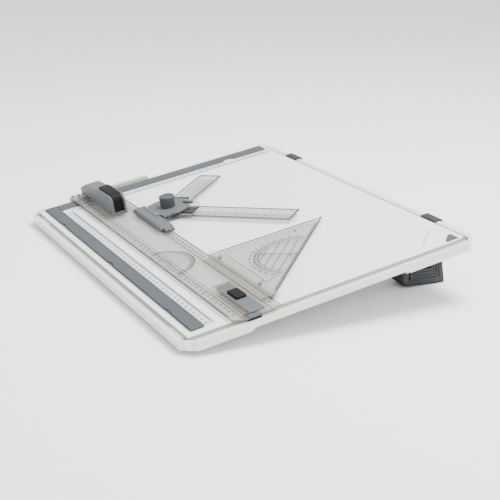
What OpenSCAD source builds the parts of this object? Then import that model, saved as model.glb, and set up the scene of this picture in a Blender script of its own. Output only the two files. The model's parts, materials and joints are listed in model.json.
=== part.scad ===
// Portable A3 drawing board with a parallel ruler, a turning drafting head,
// a sliding 45 degree set square, paper clamps and two fold-down rear feet.
// Board frame: X along the ruler, Y from the front edge to the back edge,
// Z up from the drawing surface. Every module is drawn in the board frame and
// then stood on the table by place(), with the rear feet folded down.

/* [Board] */
// Width of the board, along the ruler
board_w = 506; // [486:1:526]
// Depth of the board, front to back
board_d = 370; // [356:1:384]
// Thickness of the drawing sheet
sheet_t = 2.6; // [2.2:0.1:3]
// Thickness of the skirt wall
wall = 2.4; // [1.8:0.1:3]
// Depth of the skirt along the middle of the sides
skirt_mid = 7.5; // [7:0.5:9]
// Depth of the skirt at the front and back ends
skirt_end = 10.5; // [10:0.5:13]
// Tilt of the board when the rear feet are down, in degrees
tilt = 9.5; // [7:0.5:10]

/* [Ruler] */
// Width of the clear ruler blade
blade_d = 57; // [54:1:60]
// Thickness of the clear ruler blade
blade_t = 2; // [1.6:0.2:2]
// Gap between the drawing surface and the blade
blade_gap = 2.6; // [2.4:0.1:2.8]
// Front edge of the blade, from the middle of the board
blade_front = -125; // [-126:0.5:-124]

/* [Drafting head] */
// Angle of the long arm from the ruler, in degrees
head_angle = 38; // [36:1:60]
// Radius of the fixed head plate
plate_r = 28; // [27:0.5:30]
// Length of the long arm, from the turning axis
long_arm_l = 178; // [150:1:185]
// Length of the short arm, from the turning axis
short_arm_l = 125; // [110:1:135]
// Width of both arms
arm_w = 32; // [28:0.5:32]

/* [Set square] */
// Length of the two equal sides of the set square
square_l = 155.5; // [140:0.5:160]

/* [Rear feet] */
// Length of a foot along the side of the board
foot_l = 56.7; // [50:0.1:57]
// Width of a foot, across the board
foot_w = 28.8; // [24:0.2:30]
// Wall thickness of a foot
foot_wall = 3; // [2:0.2:3.6]

/* [Fits] */
// Radial clearance of a turning fit
run = 0.05; // [0.03:0.01:0.08]
// Gap between faces that slide past each other
slip = 0.3; // [0.3:0.05:0.4]

/* [Hidden] */
$fn = 48;
hw = board_w / 2;
hd = board_d / 2;
left_x = -hw - 4.5;

// groove round the edge of the drawing sheet: inset of its outer side
rim_w = 5;
side_groove_w = 10;
front_groove_w = 6.5;
groove_z = 4;
back_groove_w = 2.5;
back_groove_z = 1.2;
corner_cut = 15;
back_cut = 14;
left_front_r = 14;
left_back_r = 9;
end_zone_front = -107;
end_zone_back = 88;
zone_slope = 4;

// paper clamps along the front and left edges
clamp_w = 17.5;
clamp_top = 1.8;
clamp_gap = 0.1;
clamp_nose_r = 0.85;
clamp_pin_r = 0.5;
front_clamp_y = -hd + 19;
left_clamp_x = -hw + 4;
left_clamp_w = 20;
front_clamp_end = 228;
left_clamp_end = hd - 14;
lip_t = 0.7;
front_lip_w = 11.5;
left_lip_w = 14.5;
lug_l = 12;
front_lugs = [-170, 0, 170];
left_lugs = [-70, 35, 140];
magnet_w = 8;
magnet_in = 4.5;

// ruler
blade_z = blade_gap;
blade_top = blade_z + blade_t;
blade_back = blade_front + blade_d;
blade_left = -hw - 10;
blade_right = hw - 2;
blade_corner = 9.5;
edge_strip = 12;
edge_t = 1.2;
rail_z = -7;
rail_back = -8;
rail_top = 4;

// left head on the ruler
lh_x0 = blade_left + 0.5;
lh_x1 = -138;
lh_y0 = -106;
lh_d = 20;
lh_top = 31;
lh_r = 9;
lh_wall = 2;
lb_x0 = -189;
lb_top = 33;
lb_lip = 9;
stem_r = 3;
shoe_r = 3.4;
spring_in = 3.7;
spring_wall = 1;

// right lock head on the ruler
rl_x0 = 158;
rl_x1 = 246;
rl_y0 = -106.5;
rl_d = 20;
rl_h = 4.6;
bar_x0 = 167;
bar_x1 = 245;
bar_y0 = -104.2;
bar_d = 15.4;
rb_x0 = 189;
rb_x1 = 212;
rb_top = 12;

// carriage and drafting head
car_x0 = -130;
car_x1 = -40;
car_top = 10.6;
car_low = 1.2;
car_back = -63.5;
pivot = [-99, -43.5];
pad_z = 8.5;
plate_z = 9.2;
plate_t = 2.1;
carrier_z = 6.55;
carrier_t = 1.85;
arm_z = 4.6;
arm_t = 1.8;
spindle_r = 2.5;
knob_r = 10.2;
knob_h = 14.6;
latch_at = [-95, -20];
window_at = [-80, -16];

// set square and its sliding clip
sq_x = 69;
sq_y = blade_back + 1.3;
sq_z = 2.2;
sq_t = 1.8;
clip_x0 = 63;
clip_x1 = 224;
clip_back = -58;

// rear feet, hinged along the inner top edge
foot_x = 161;
foot_y0 = 122.2;
foot_axis_z = -9.4;
foot_knuckle_r = 4.3;
foot_pin_r = 1.5;
foot_x1 = 157 + foot_w;
tab_x0 = 151;
tab_x1 = 179;
tab_top = 1.8;
tab_back = hd + 3.5;
plate_low = -sheet_t - 1.9;
front_pad_y = -178;
front_pad_z = -skirt_end - 5;
foot_y1 = foot_y0 + foot_l;
foot_flat = 12;
foot_rise = 11.2;
foot_pad_t = 2;

// height of the board frame's table line under the rear feet, and the stand
foot_z = front_pad_z - (foot_y1 - front_pad_y) * tan(tilt);
lift = -(front_pad_y * sin(tilt) + front_pad_z * cos(tilt));
y_low = -hd * cos(tilt);
y_high = foot_y1 * cos(tilt) - foot_z * sin(tilt);
x_mid = (blade_left + hw) / 2;
y_mid = (y_low + y_high) / 2;

white = [0.93, 0.93, 0.92];
clamp_grey = [0.5, 0.52, 0.55];
head_grey = [0.58, 0.6, 0.62];
foot_grey = [0.26, 0.27, 0.28];
black = [0.12, 0.11, 0.12];
clear = [0.82, 0.81, 0.78, 0.55];
steel = [0.72, 0.73, 0.75];
rubber = [0.2, 0.2, 0.21];

// stands a piece drawn in the board frame on the table
module place() {
    translate([-x_mid, -y_mid, lift]) rotate([tilt, 0, 0]) children();
}

// a block from its low corner to its high corner
module block(lo, hi) {
    translate(lo) cube(hi - lo);
}

// an upright rod from z0 to z1
module rod(at, r, z0, z1) {
    translate([at[0], at[1], z0]) cylinder(r = r, h = z1 - z0);
}

// an outline in Y and Z carried along X from x0 to x1
module along_x(x0, x1) {
    translate([x0, 0, 0]) rotate([90, 0, 90]) linear_extrude(x1 - x0) children();
}

// an outline in X and Z carried along Y from y0 to y1
module along_y(y0, y1) {
    translate([0, y1, 0]) rotate([90, 0, 0]) linear_extrude(y1 - y0) children();
}

// points of a quarter turn of radius r about [x, y], from angle a; one step is a plain chamfer
function corner(x, y, r, a, steps) =
    [for (i = [0 : steps]) [x + r * cos(a + 90 * i / steps), y + r * sin(a + 90 * i / steps)]];

// the board's outline, drawn in by a distance from its outer edge
module board_outline(inset = 0) {
    l = left_x + inset;
    r = hw - inset;
    d = hd - inset;
    cf = corner_cut - 0.4 * inset;
    cb = back_cut - 0.4 * inset;
    rf = left_front_r - inset;
    rb = left_back_r - inset / 2;
    polygon(concat(
        corner(r - cf, -d + cf, cf, -90, 1),
        corner(r - cb, d - cb, cb, 0, 1),
        corner(l + rb, d - rb, rb, 90, 6),
        corner(l + rf, -d + rf, rf, 180, 8)));
}

// ---- board ----

module edge_groove() {
    inner_x = hw - rim_w - side_groove_w;
    outer_x = hw - rim_w;
    inner_y = -hd + rim_w + front_groove_w;
    outer_y = -hd + rim_w;
    cut = corner_cut;
    translate([0, 0, -groove_z]) linear_extrude(groove_z + 1) {
        translate([inner_x, -hd + cut + 2]) square([side_groove_w, board_d - cut - back_cut - 4]);
        translate([left_x + 8, outer_y]) square([hw - left_x - 8 - cut - 2, front_groove_w]);
        polygon([[inner_x, -hd + cut + 3], [outer_x, -hd + cut + 3], [outer_x, -hd + cut - 1],
            [hw - cut + 1, outer_y], [hw - cut - 3, outer_y], [hw - cut - 3, inner_y],
            [inner_x - 1, inner_y]]);
        polygon([[inner_x, hd - back_cut - 4], [outer_x, hd - back_cut - 4],
            [outer_x, hd - back_cut + 2], [hw - back_cut + 1.5, hd - rim_w - 1.5],
            [hw - back_cut - 4, hd - rim_w - 1.5], [hw - back_cut - 4, hd - rim_w - 4]]);
    }
    translate([-hw + 16, hd - rim_w - 1.5 - back_groove_w, -back_groove_z])
        cube([board_w - 16 - back_cut - 4, back_groove_w, back_groove_z + 1]);
}

// hinge lug of the front clamp, centred at x
module front_lug(x) {
    along_x(x - lug_l / 2, x + lug_l / 2) difference() {
        union() {
            translate([front_clamp_y + 0.9, clamp_gap + clamp_nose_r]) circle(r = clamp_nose_r);
            translate([front_clamp_y + 0.05, -0.5]) square([1.7, clamp_nose_r + clamp_gap + 0.5]);
        }
        translate([front_clamp_y + 0.9, clamp_gap + clamp_nose_r]) circle(r = clamp_pin_r + 0.01);
    }
}

// hinge lug of the left clamp, centred at y
module left_lug(y) {
    along_y(y - lug_l / 2, y + lug_l / 2) difference() {
        union() {
            translate([left_clamp_x + 0.9, clamp_gap + clamp_nose_r]) circle(r = clamp_nose_r);
            translate([left_clamp_x + 0.05, -0.5]) square([1.7, clamp_nose_r + clamp_gap + 0.5]);
        }
        translate([left_clamp_x + 0.9, clamp_gap + clamp_nose_r]) circle(r = clamp_pin_r + 0.01);
    }
}

function front_pads() = [[214, front_pad_y], [-214, front_pad_y]];

module board_shell() {
    color(white) place() {
        difference() {
            translate([0, 0, -skirt_end]) linear_extrude(skirt_end) board_outline();
            // shallower skirt along the middle, with sloping ends
            along_x(left_x - 1, hw + 1) polygon([[end_zone_front - zone_slope, -skirt_end - 1],
                [end_zone_front + zone_slope, -skirt_mid], [end_zone_back - zone_slope, -skirt_mid],
                [end_zone_back + zone_slope, -skirt_end - 1]]);
            edge_groove();
            // hollow underside, shallower under the edge groove
            translate([0, 0, -skirt_end - 1]) linear_extrude(skirt_end + 1 - sheet_t)
                intersection() {
                    board_outline(wall);
                    translate([left_x, -hd + 14]) square([hw - left_x - 18, board_d]);
                }
            translate([0, 0, -skirt_end - 1]) linear_extrude(skirt_end + 1 - groove_z - sheet_t)
                board_outline(wall);
            // notches in the back skirt where the foot brackets hook round the rim
            for (s = [-1, 1]) translate([s * (tab_x0 + tab_x1) / 2, hd - 2, -skirt_end / 2 - sheet_t])
                cube([tab_x1 - tab_x0 + 1, 8, skirt_end], center = true);
            // beds of the two steel strips
            block([-230, front_clamp_y + magnet_in, -0.8], [215, front_clamp_y + magnet_in + magnet_w, 1]);
            block([left_clamp_x + 5.5, -140, -0.8], [left_clamp_x + 5.5 + magnet_w, left_clamp_end - 12, 1]);
            // slit that takes the corner of the paper
            translate([hw - 45.5, hd - 40.5, -1]) rotate(-45) translate([-25, -0.7, 0]) cube([50, 1.4, 2]);
            // pilot holes of the bracket screws
            for (s = [-1, 1], p = bracket_holes()) rod([s * p[0], p[1]], 1.2, -sheet_t - 1, -0.9);
        }
        // stiffening ribs under the sheet
        for (x = [-80, 0, 80])
            block([x - 0.9, -hd + 13, -skirt_mid + 1], [x + 0.9, hd - wall - 0.1, -sheet_t]);
        for (y = [-95, 0, 95])
            block([left_x + wall, y - 0.9, -skirt_mid + 1], [hw - 17, y + 0.9, -sheet_t]);
        // bosses over the front rubber feet
        for (b = front_pads())
            block([b[0] - 16, b[1] - 1.5, -skirt_end], [b[0] + 16, b[1] + 11.5, -sheet_t]);
        for (x = front_lugs) front_lug(x);
        for (y = left_lugs) left_lug(y);
    }
}

module rubber_feet() {
    color(rubber) place()
        for (b = front_pads()) block([b[0] - 14, b[1], front_pad_z], [b[0] + 14, b[1] + 10, -skirt_end]);
}

module front_steel_strip() {
    color(steel) place()
        block([-229.8, front_clamp_y + magnet_in + 0.2, -0.8], [214.8, front_clamp_y + magnet_in + magnet_w - 0.2, 0]);
}

module left_steel_strip() {
    color(steel) place()
        block([left_clamp_x + 5.7, -139.8, -0.8], [left_clamp_x + 5.3 + magnet_w, left_clamp_end - 12.2, 0]);
}

module front_clamp_pins() {
    color(steel) place() for (x = front_lugs)
        translate([x - 11, front_clamp_y + 0.9, clamp_gap + clamp_nose_r])
            rotate([0, 90, 0]) cylinder(r = clamp_pin_r, h = 22);
}

module left_clamp_pins() {
    color(steel) place() for (y = left_lugs)
        translate([left_clamp_x + 0.9, y + 11, clamp_gap + clamp_nose_r])
            rotate([90, 0, 0]) cylinder(r = clamp_pin_r, h = 22);
}

// grey pad in the back right corner of the sheet
module corner_pad() {
    a = hw - 38;
    b = hd - 15;
    s = 20;
    color(clamp_grey) place() linear_extrude(0.4) difference() {
        polygon([[a, b], [a + s, b], [a + s, b - s]]);
        translate([a - 1, b - 3]) square([5, 4]);
        translate([a + s - 3, b - s - 1]) square([4, 5]);
    }
}

// ---- paper clamps ----

// section of a clamp bar: x across the bar from its hinge, y up; the lip's tongue bed is cut
module clamp_section(width) {
    difference() {
        union() {
            translate([0.9, clamp_gap + clamp_nose_r]) circle(r = clamp_nose_r);
            polygon([[0.9, clamp_gap], [width, clamp_gap], [width, clamp_top - 0.5],
                [width - 0.6, clamp_top], [0.9, clamp_top]]);
        }
        translate([0.9, clamp_gap + clamp_nose_r]) circle(r = clamp_pin_r + run);
    }
}

module front_clamp_bar() {
    y = front_clamp_y;
    color(clamp_grey) place() difference() {
        intersection() {
            along_x(left_clamp_x, front_clamp_end) translate([y, 0]) clamp_section(clamp_w);
            linear_extrude(5) {
                translate([left_clamp_x, y]) square([front_clamp_end - left_clamp_x - 4, clamp_w]);
                translate([front_clamp_end - 5, y]) square([5, clamp_w - 4]);
                translate([front_clamp_end - 4, y + clamp_w - 4]) circle(r = 4);
            }
        }
        for (x = front_lugs) block([x - lug_l / 2 - slip, y - 1, -1], [x + lug_l / 2 + slip, y + 2.9, 3]);
        block([-229, y + magnet_in, 0], [214, y + magnet_in + magnet_w, 0.8]);
        block([left_clamp_x + left_clamp_w + left_lip_w, y + clamp_w - 2.5, 0], [226.2, y + clamp_w + 1, lip_t + 0.1]);
    }
}

module front_clamp_magnet() {
    color(rubber) place()
        block([-228.8, front_clamp_y + magnet_in + 0.2, 0.12], [213.8, front_clamp_y + magnet_in + magnet_w - 0.2, 0.8]);
}

module front_scale_lip() {
    color(clear) place()
        block([left_clamp_x + left_clamp_w + left_lip_w + 0.2, front_clamp_y + clamp_w - 2.4, clamp_gap],
            [226, front_clamp_y + clamp_w + front_lip_w, clamp_gap + lip_t]);
}

module left_clamp_bar() {
    y0 = front_clamp_y + clamp_w + 0.5;
    color(clamp_grey) place() difference() {
        along_y(y0, left_clamp_end) translate([left_clamp_x, 0]) clamp_section(left_clamp_w);
        for (y = left_lugs) block([left_clamp_x - 1, y - lug_l / 2 - slip, -1], [left_clamp_x + 2.9, y + lug_l / 2 + slip, 3]);
        block([left_clamp_x + 5.5, -140, 0], [left_clamp_x + 5.5 + magnet_w, left_clamp_end - 12, 0.8]);
        block([left_clamp_x + left_clamp_w - 2.5, front_clamp_y + clamp_w + front_lip_w + 1, 0],
            [left_clamp_x + left_clamp_w + 1, left_clamp_end + 1, lip_t + 0.1]);
        // finger notch
        translate([left_clamp_x + left_clamp_w + 3, 110, -1]) cylinder(r = 9.5, h = 4);
    }
}

module left_clamp_magnet() {
    color(rubber) place()
        block([left_clamp_x + 5.7, -139.8, 0.12], [left_clamp_x + 5.3 + magnet_w, left_clamp_end - 12.2, 0.8]);
}

module left_scale_lip() {
    color(clear) place() difference() {
        block([left_clamp_x + left_clamp_w - 2.4, front_clamp_y + clamp_w + front_lip_w + 1.2, clamp_gap],
            [left_clamp_x + left_clamp_w + left_lip_w, left_clamp_end, clamp_gap + lip_t]);
        translate([left_clamp_x + left_clamp_w + 3, 110, -1]) cylinder(r = 9.5, h = 4);
    }
}

// ---- rear feet, drawn on the right side and mirrored for the left ----

function bracket_holes() = [[172.5, 130], [172.5, 166]];

// outline of a round hinge eye in X and Z, joined upwards to a height
module eye(top) {
    translate([foot_x, foot_axis_z]) circle(r = foot_knuckle_r);
    translate([foot_x - foot_knuckle_r, foot_axis_z]) square([2 * foot_knuckle_r, top - foot_axis_z]);
}

module foot_bracket() {
    color(foot_grey) place() difference() {
        union() {
            // plate under the sheet, up round the back rim and over its top
            along_x(tab_x0, tab_x1) polygon([[foot_y0 - 6, -sheet_t - 0.1], [hd + 0.2, -sheet_t - 0.1],
                [hd + 0.2, 0.1], [hd - 8, 0.1], [hd - 7.4, tab_top - 0.5], [hd - 6.2, tab_top],
                [tab_back - 1.4, tab_top], [tab_back, tab_top - 1.4], [tab_back, plate_low],
                [foot_y0 - 6, plate_low]]);
            along_y(foot_y0 - 6, foot_y0 - 0.5) eye(plate_low + 0.5);
            along_y(foot_y1 + 0.5, hd - wall - 0.2) eye(plate_low + 0.5);
        }
        translate([foot_x, foot_y0 - 7, foot_axis_z]) rotate([-90, 0, 0])
            cylinder(r = foot_pin_r + 0.01, h = foot_l + 12);
        for (p = bracket_holes()) {
            rod(p, 1.4, -sheet_t - 3, 0);
            rod(p, 2.7, -sheet_t - 3, -sheet_t - 1.2);
        }
    }
}

// side outline of a foot, in Y and Z, raised from its table line and drawn in at both ends
module foot_side(up, inset = 0) {
    rise = foot_flat * tan(tilt);
    y0 = foot_y0 + inset;
    y1 = foot_y1 - inset;
    polygon([[y0, foot_axis_z + foot_knuckle_r], [y1, foot_axis_z + foot_knuckle_r], [y1, foot_z + up],
        [y1 - foot_flat, foot_z + rise + up], [y0 + 3, foot_z + foot_rise + 1.2 + up],
        [y0, foot_z + foot_rise + 4.2 + up]]);
}

module foot() {
    color(foot_grey) place() difference() {
        union() {
            along_x(foot_x, foot_x1) foot_side(foot_pad_t);
            along_x(157, foot_x + 1) intersection() {
                foot_side(foot_pad_t);
                translate([foot_y0, -200]) square([foot_l, 200 + foot_axis_z]);
            }
            along_y(foot_y0, foot_y1) translate([foot_x, foot_axis_z]) circle(r = foot_knuckle_r);
        }
        // open inner side
        along_x(0, foot_x1 - foot_wall) difference() {
            foot_side(foot_pad_t + foot_wall, foot_wall);
            translate([foot_y0, -16]) square([9, 30]);
            translate([foot_y1 - 9, -16]) square([9, 30]);
        }
        // pin bore
        translate([foot_x, foot_y0 - 1, foot_axis_z]) rotate([-90, 0, 0])
            cylinder(r = foot_pin_r + run, h = foot_l + 2);
        // round-ended slot near the front of the outer side
        slot_y = foot_y0 + 7.3;
        slot_low = foot_z + 21.5;
        along_x(foot_x1 - foot_wall - 1, foot_x1 + 1) {
            translate([slot_y - 3, slot_low]) square([6, -21 - slot_low]);
            translate([slot_y, slot_low]) circle(r = 3);
        }
        // nested angled grooves on the outer side
        for (i = [0 : 4]) along_x(foot_x1 - 0.8, foot_x1 + 1) angle_line(i);
    }
}

// one of the nested grooves: down the back of the foot and forward along its bottom
module angle_line(i) {
    y = foot_y1 - 5 - 3.6 * i;
    slope = foot_rise / (foot_l - 3);
    z = foot_z + 8.5 + 4 * i + (foot_y1 - y) * slope;
    y_end = foot_y0 + 13;
    z_end = z + (y - y_end) * slope;
    polygon([[y, -21], [y - 1.4, -21], [y - 1.4, z + 1.4 + 1.4 * slope], [y_end, z_end + 1.4],
        [y_end, z_end], [y, z]]);
}

module foot_pad() {
    color(rubber) place() along_x(157, foot_x1) difference() {
        foot_side(0);
        foot_side(foot_pad_t);
        translate([0, foot_z + foot_rise + 4.5]) square([400, 200]);
    }
}

module foot_pin() {
    color(steel) place() translate([foot_x, foot_y0 - 5.5, foot_axis_z]) rotate([-90, 0, 0])
        cylinder(r = foot_pin_r, h = foot_l + 9);
}

// mirrors a standing piece to the left side of the board
module left_side() {
    translate([-2 * x_mid, 0, 0]) mirror([1, 0, 0]) children();
}

module right_foot_bracket() { foot_bracket(); }
module left_foot_bracket() { left_side() foot_bracket(); }
module right_foot() { foot(); }
module left_foot() { left_side() foot(); }
module right_foot_pad() { foot_pad(); }
module left_foot_pad() { left_side() foot_pad(); }
module right_foot_pin() { foot_pin(); }
module left_foot_pin() { left_side() foot_pin(); }

module bracket_screws() {
    color(steel) place() for (s = [-1, 1], p = bracket_holes()) {
        rod([s * p[0], p[1]], 2.6, plate_low, -sheet_t - 1.2);
        rod([s * p[0], p[1]], 1.15, -sheet_t - 1.2, -1);
    }
}

// ---- ruler ----

module ruler_blade() {
    color(clear) place() difference() {
        intersection() {
            along_x(blade_left, blade_right) polygon([[blade_front, blade_z], [blade_back, blade_z],
                [blade_back, blade_z + edge_t], [blade_back - edge_strip + 1, blade_top],
                [blade_front + edge_strip, blade_top], [blade_front, blade_z + edge_t]]);
            linear_extrude(20) polygon([[blade_left, blade_front], [blade_right - blade_corner, blade_front],
                [blade_right, blade_front + blade_corner], [blade_right, blade_back - blade_corner],
                [blade_right - blade_corner, blade_back], [blade_left, blade_back]]);
        }
        // notch for the right end block, brake holes and screw holes
        block([246, -108.8, 0], [blade_right + 1, -94.2, 10]);
        rod(left_stem(), shoe_r + slip, 0, 10);
        rod(right_stem(), shoe_r + slip, 0, 10);
        for (p = concat(left_screws(), right_screws(), rail_holes())) rod(p, 1.3, 0, 10);
    }
}

function left_stem() = [-183.6, lh_y0 + lh_d / 2];
function right_stem() = [200.5, -96.5];
function left_screws() = [[-212, lh_y0 + lh_d / 2], [-148, lh_y0 + lh_d / 2]];
function right_screws() = [[176, -96.5], [228, -96.5]];
function rail_holes() = [[-260.2, -120], [-260.2, -112], [-260.2, -76]];

module guide_rail() {
    x0 = blade_left;
    x1 = left_x - 0.5;
    top_x1 = -hw - 0.5;
    color(clear) place() difference() {
        union() {
            block([x0, blade_front, rail_z], [x1, rail_back, blade_z]);
            block([x0, blade_front, 0.5], [top_x1, rail_back, blade_z]);
            block([x0, blade_back, blade_z - 1], [top_x1, rail_back, rail_top]);
        }
        // channel from below, closed at both ends
        block([x0 + 1.8, blade_back + 6, rail_z - 1], [x1 - 1.4, rail_back - 3, rail_top - 1.6]);
        for (p = rail_holes()) rod(p, 1.2, -4, 4);
    }
}

module rail_screws() {
    color(steel) place() for (p = rail_holes()) {
        rod(p, 1.15, -3.5, blade_top);
        rod(p, 2.3, blade_top, blade_top + 0.9);
    }
}

// side outline of the left head, in X and Z, drawn in by a distance
module left_head_side(inset = 0) {
    top = lh_top - inset;
    x0 = lh_x0 + inset;
    x1 = lh_x1 - inset;
    polygon(concat([[x0, blade_top]], [[x1, blade_top]],
        corner(x1 - lh_r, top - lh_r, lh_r, 0, 6),
        [[-186, top - 0.8], [-214, top - 4.6], [-238, top - 6.8], [x0 + 5, lh_top - 15.4 - inset],
            [x0 + 1, lh_top - 17 - inset], [x0, lh_top - 19 - inset]]));
}

module left_head_housing() {
    y1 = lh_y0 + lh_d;
    slot_y = [lh_y0 + 3, y1 - 3];
    color(head_grey) place() difference() {
        along_y(lh_y0, y1) left_head_side();
        // slot for the button, open at the top and at the right end above a lip
        block([lb_x0 - slip, slot_y[0], blade_top + lh_wall], [lh_x1 - 5, slot_y[1], lh_top + 1]);
        block([lh_x1 - 6, slot_y[0], lb_lip], [lh_x1 + 1, slot_y[1], lh_top + 1]);
        // hollow left part
        intersection() {
            along_y(lh_y0 + lh_wall, y1 - lh_wall) left_head_side(lh_wall);
            block([lh_x0, lh_y0, blade_top - 1], [lb_x0 - 2.4, y1, lh_top]);
        }
        // two small openings at the foot of the front side
        block([-243, lh_y0 - 1, blade_top - 1], [-224, lh_y0 + lh_wall + 1, blade_top + 2.6]);
        block([-216, lh_y0 - 1, blade_top - 1], [-211, lh_y0 + lh_wall + 1, blade_top + 1.4]);
        rod(left_stem(), stem_r + slip, 0, 10);
        rod(left_screws()[1], 1.2, blade_top - 1, blade_top + 3);
    }
}

// screw post inside the hollow left part, and the two screws from under the blade
module left_head_post() {
    color(head_grey) place() difference() {
        rod(left_screws()[0], 3.4, blade_top, lh_top - 7);
        rod(left_screws()[0], 1.2, blade_top - 1, blade_top + 5);
    }
}

module left_head_screws() {
    color(steel) place() for (p = left_screws()) {
        rod(p, 2.1, blade_z - 0.6, blade_z);
        rod(p, 1.15, blade_z, blade_top + 1.9);
    }
}

module left_button() {
    y0 = lh_y0 + 3 + slip;
    y1 = lh_y0 + lh_d - 3 - slip;
    x1 = lh_x1 - 0.4;
    color(black) place() {
        along_y(y0, y1) polygon(concat(
            [[lb_x0, lb_top - 6], [x1 - 6.4, lb_top - 6], [x1 - 6.4, lb_lip + 2.5], [x1, lb_lip + 2.5]],
            corner(x1 - lh_r, lb_top - lh_r, lh_r, 0, 6),
            [[lb_x0 + 2, lb_top], [lb_x0, lb_top - 2]]));
        rod(left_stem(), stem_r, blade_top - 0.2, lb_top - 5);
    }
}

module left_brake_shoe() {
    color(rubber) place() rod(left_stem(), shoe_r, blade_z - 0.2, blade_top - 0.2);
}

// a button's return spring, drawn as the plain sleeve that the coil fills
module spring_sleeve(at, z0, z1) {
    translate([at[0], at[1], z0]) rotate_extrude()
        translate([spring_in, 0]) square([spring_wall, z1 - z0]);
}

module left_button_spring() {
    color(steel) place() spring_sleeve(left_stem(), blade_top + lh_wall, lb_top - 6);
}

// ---- right lock head ----

module right_channel() {
    y1 = rl_y0 + rl_d;
    color(clear) place() difference() {
        block([rl_x0, rl_y0, blade_top], [rl_x1, y1, blade_top + rl_h]);
        block([rl_x0 + 6, bar_y0 - 0.1, blade_top + 1.2], [rl_x1 + 1, bar_y0 + bar_d + 0.1, 20]);
        rod(right_stem(), stem_r + slip, 0, 10);
        for (p = right_screws()) rod(p, 1.3, 0, 10);
        // tapered left end
        along_y(rl_y0 - 1, y1 + 1) polygon([[rl_x0 - 1, blade_top + 1.5], [rl_x0 + 5, blade_top + rl_h + 0.1],
            [rl_x0 - 1, blade_top + rl_h + 0.1]]);
    }
}

module right_bar() {
    z0 = blade_top + 1.2;
    z1 = blade_top + rl_h - 0.3;
    color(head_grey) place() difference() {
        along_y(bar_y0, bar_y0 + bar_d) polygon([[bar_x0, z0], [bar_x1, z0], [bar_x1, z1 - 1.8],
            [bar_x1 - 5, z1], [bar_x0, z1]]);
        block([rb_x0 - slip, bar_y0 + 1.4, z0 - 1], [rb_x1 + slip, bar_y0 + bar_d - 1.4, z1 + 1]);
        for (p = right_screws()) rod(p, 1.2, z0 - 1, z0 + 2);
    }
}

module right_end_block() {
    color(head_grey) place() block([246.2, -108.5, blade_z], [250.6, -94.5, blade_z + 3.2]);
}

module groove_runner() {
    x0 = hw - rim_w - side_groove_w + slip;
    x1 = hw - rim_w - slip;
    color(black) place() {
        block([236, -109, 0.4], [250.6, -94, blade_z]);
        block([x0, -109, -groove_z + 0.4], [x1, -94, 0.4]);
    }
}

module right_head_screws() {
    color(steel) place() for (p = right_screws()) {
        rod(p, 2.1, blade_z - 0.6, blade_z);
        rod(p, 1.15, blade_z, blade_top + 2.9);
    }
}

module right_button() {
    y0 = bar_y0 + 1.4 + slip;
    y1 = bar_y0 + bar_d - 1.4 - slip;
    color(black) place() {
        along_y(y0, y1) polygon([[rb_x0, blade_top + 3.4], [rb_x1, blade_top + 3.4], [rb_x1, rb_top - 1.4],
            [rb_x1 - 1.4, rb_top], [rb_x0 + 1.4, rb_top], [rb_x0, rb_top - 1.4]]);
        rod(right_stem(), stem_r, blade_top - 0.2, rb_top - 2);
    }
}

module right_brake_shoe() {
    color(rubber) place() rod(right_stem(), shoe_r, blade_z - 0.2, blade_top - 0.2);
}

module right_button_spring() {
    color(steel) place() spring_sleeve(right_stem(), blade_top + 1.2, blade_top + 3.4);
}

// ---- carriage and drafting head ----

module carriage_section() {
    y0 = -81;
    polygon([[y0, blade_top + slip], [y0, car_top - 1.6], [y0 + 1.6, car_top], [car_back - 1.6, car_top],
        [car_back, car_top - 1.6], [car_back, car_low], [-78.5, car_low], [-78.5, blade_z - slip],
        [blade_back + 0.5, blade_z - slip], [blade_back + 0.5, blade_top + slip]]);
}

module carriage() {
    color(head_grey) place() difference() {
        union() {
            along_x(car_x0, car_x1) carriage_section();
            // end lug on the right
            block([car_x1 - 1, -77, blade_top + slip], [car_x1 + 9, -65, blade_top + 3.4]);
        }
        // bevelled top corners at both ends
        for (e = [[car_x0, 1], [car_x1, -1]]) translate([e[0], 0, car_top]) rotate([0, 45, 0])
            cube([3.2, 200, 3.2], center = true);
        // two small holes in the lug's end face
        for (y = [-74, -68]) translate([car_x1 + 5, y, blade_top + 1.9]) rotate([0, 90, 0])
            cylinder(r = 0.9, h = 6);
        // bed of the sliding liner
        block([car_x0 + 6, -80, blade_top], [car_x1 - 6, -70, blade_top + slip + 0.6]);
        block([pivot[0] - 20.1, car_back - 5.7, plate_z], [pivot[0] + 20.1, car_back + 1, car_top + 1]);
        for (p = plate_holes()) rod(p, 1.2, 6.9, car_top);
    }
}

module carriage_liner() {
    color(rubber) place() block([car_x0 + 6.2, -79.8, blade_top + 0.08], [car_x1 - 6.2, -70.2, blade_top + slip + 0.6]);
}

function plate_holes() = [[-113, -67], [-85, -67]];

// outline of the fixed plate: round, with a straight front side and a wider root
module plate_outline(r, root) {
    difference() {
        union() {
            translate(pivot) circle(r = r);
            translate([pivot[0] - 24, pivot[1] - 19]) square([24 + root, 10]);
        }
        translate([-200, -100]) square([200, 100 + car_back + 0.1]);
    }
}

// the plate, with a tongue let into the top of the carriage
module head_plate() {
    color(head_grey) place() difference() {
        union() {
            translate([0, 0, plate_z]) linear_extrude(plate_t) plate_outline(plate_r, 29);
            block([pivot[0] - 20, car_back - 5.6, plate_z], [pivot[0] + 20, car_back + 1, plate_z + plate_t]);
        }
        rod(pivot, spindle_r + run, 0, 20);
        rod(latch_at, 1.06, 0, 20);
        for (p = plate_holes()) rod(p, 1.3, 0, 20);
    }
}

// black pad under the plate that the turning carrier rubs on
module plate_pad() {
    color(black) place() difference() {
        translate([0, 0, pad_z]) linear_extrude(plate_z - pad_z) plate_outline(plate_r - 0.8, 28);
        rod(pivot, spindle_r + 0.4, 0, 20);
        rod(latch_at, 1.3, 0, 20);
    }
}

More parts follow.
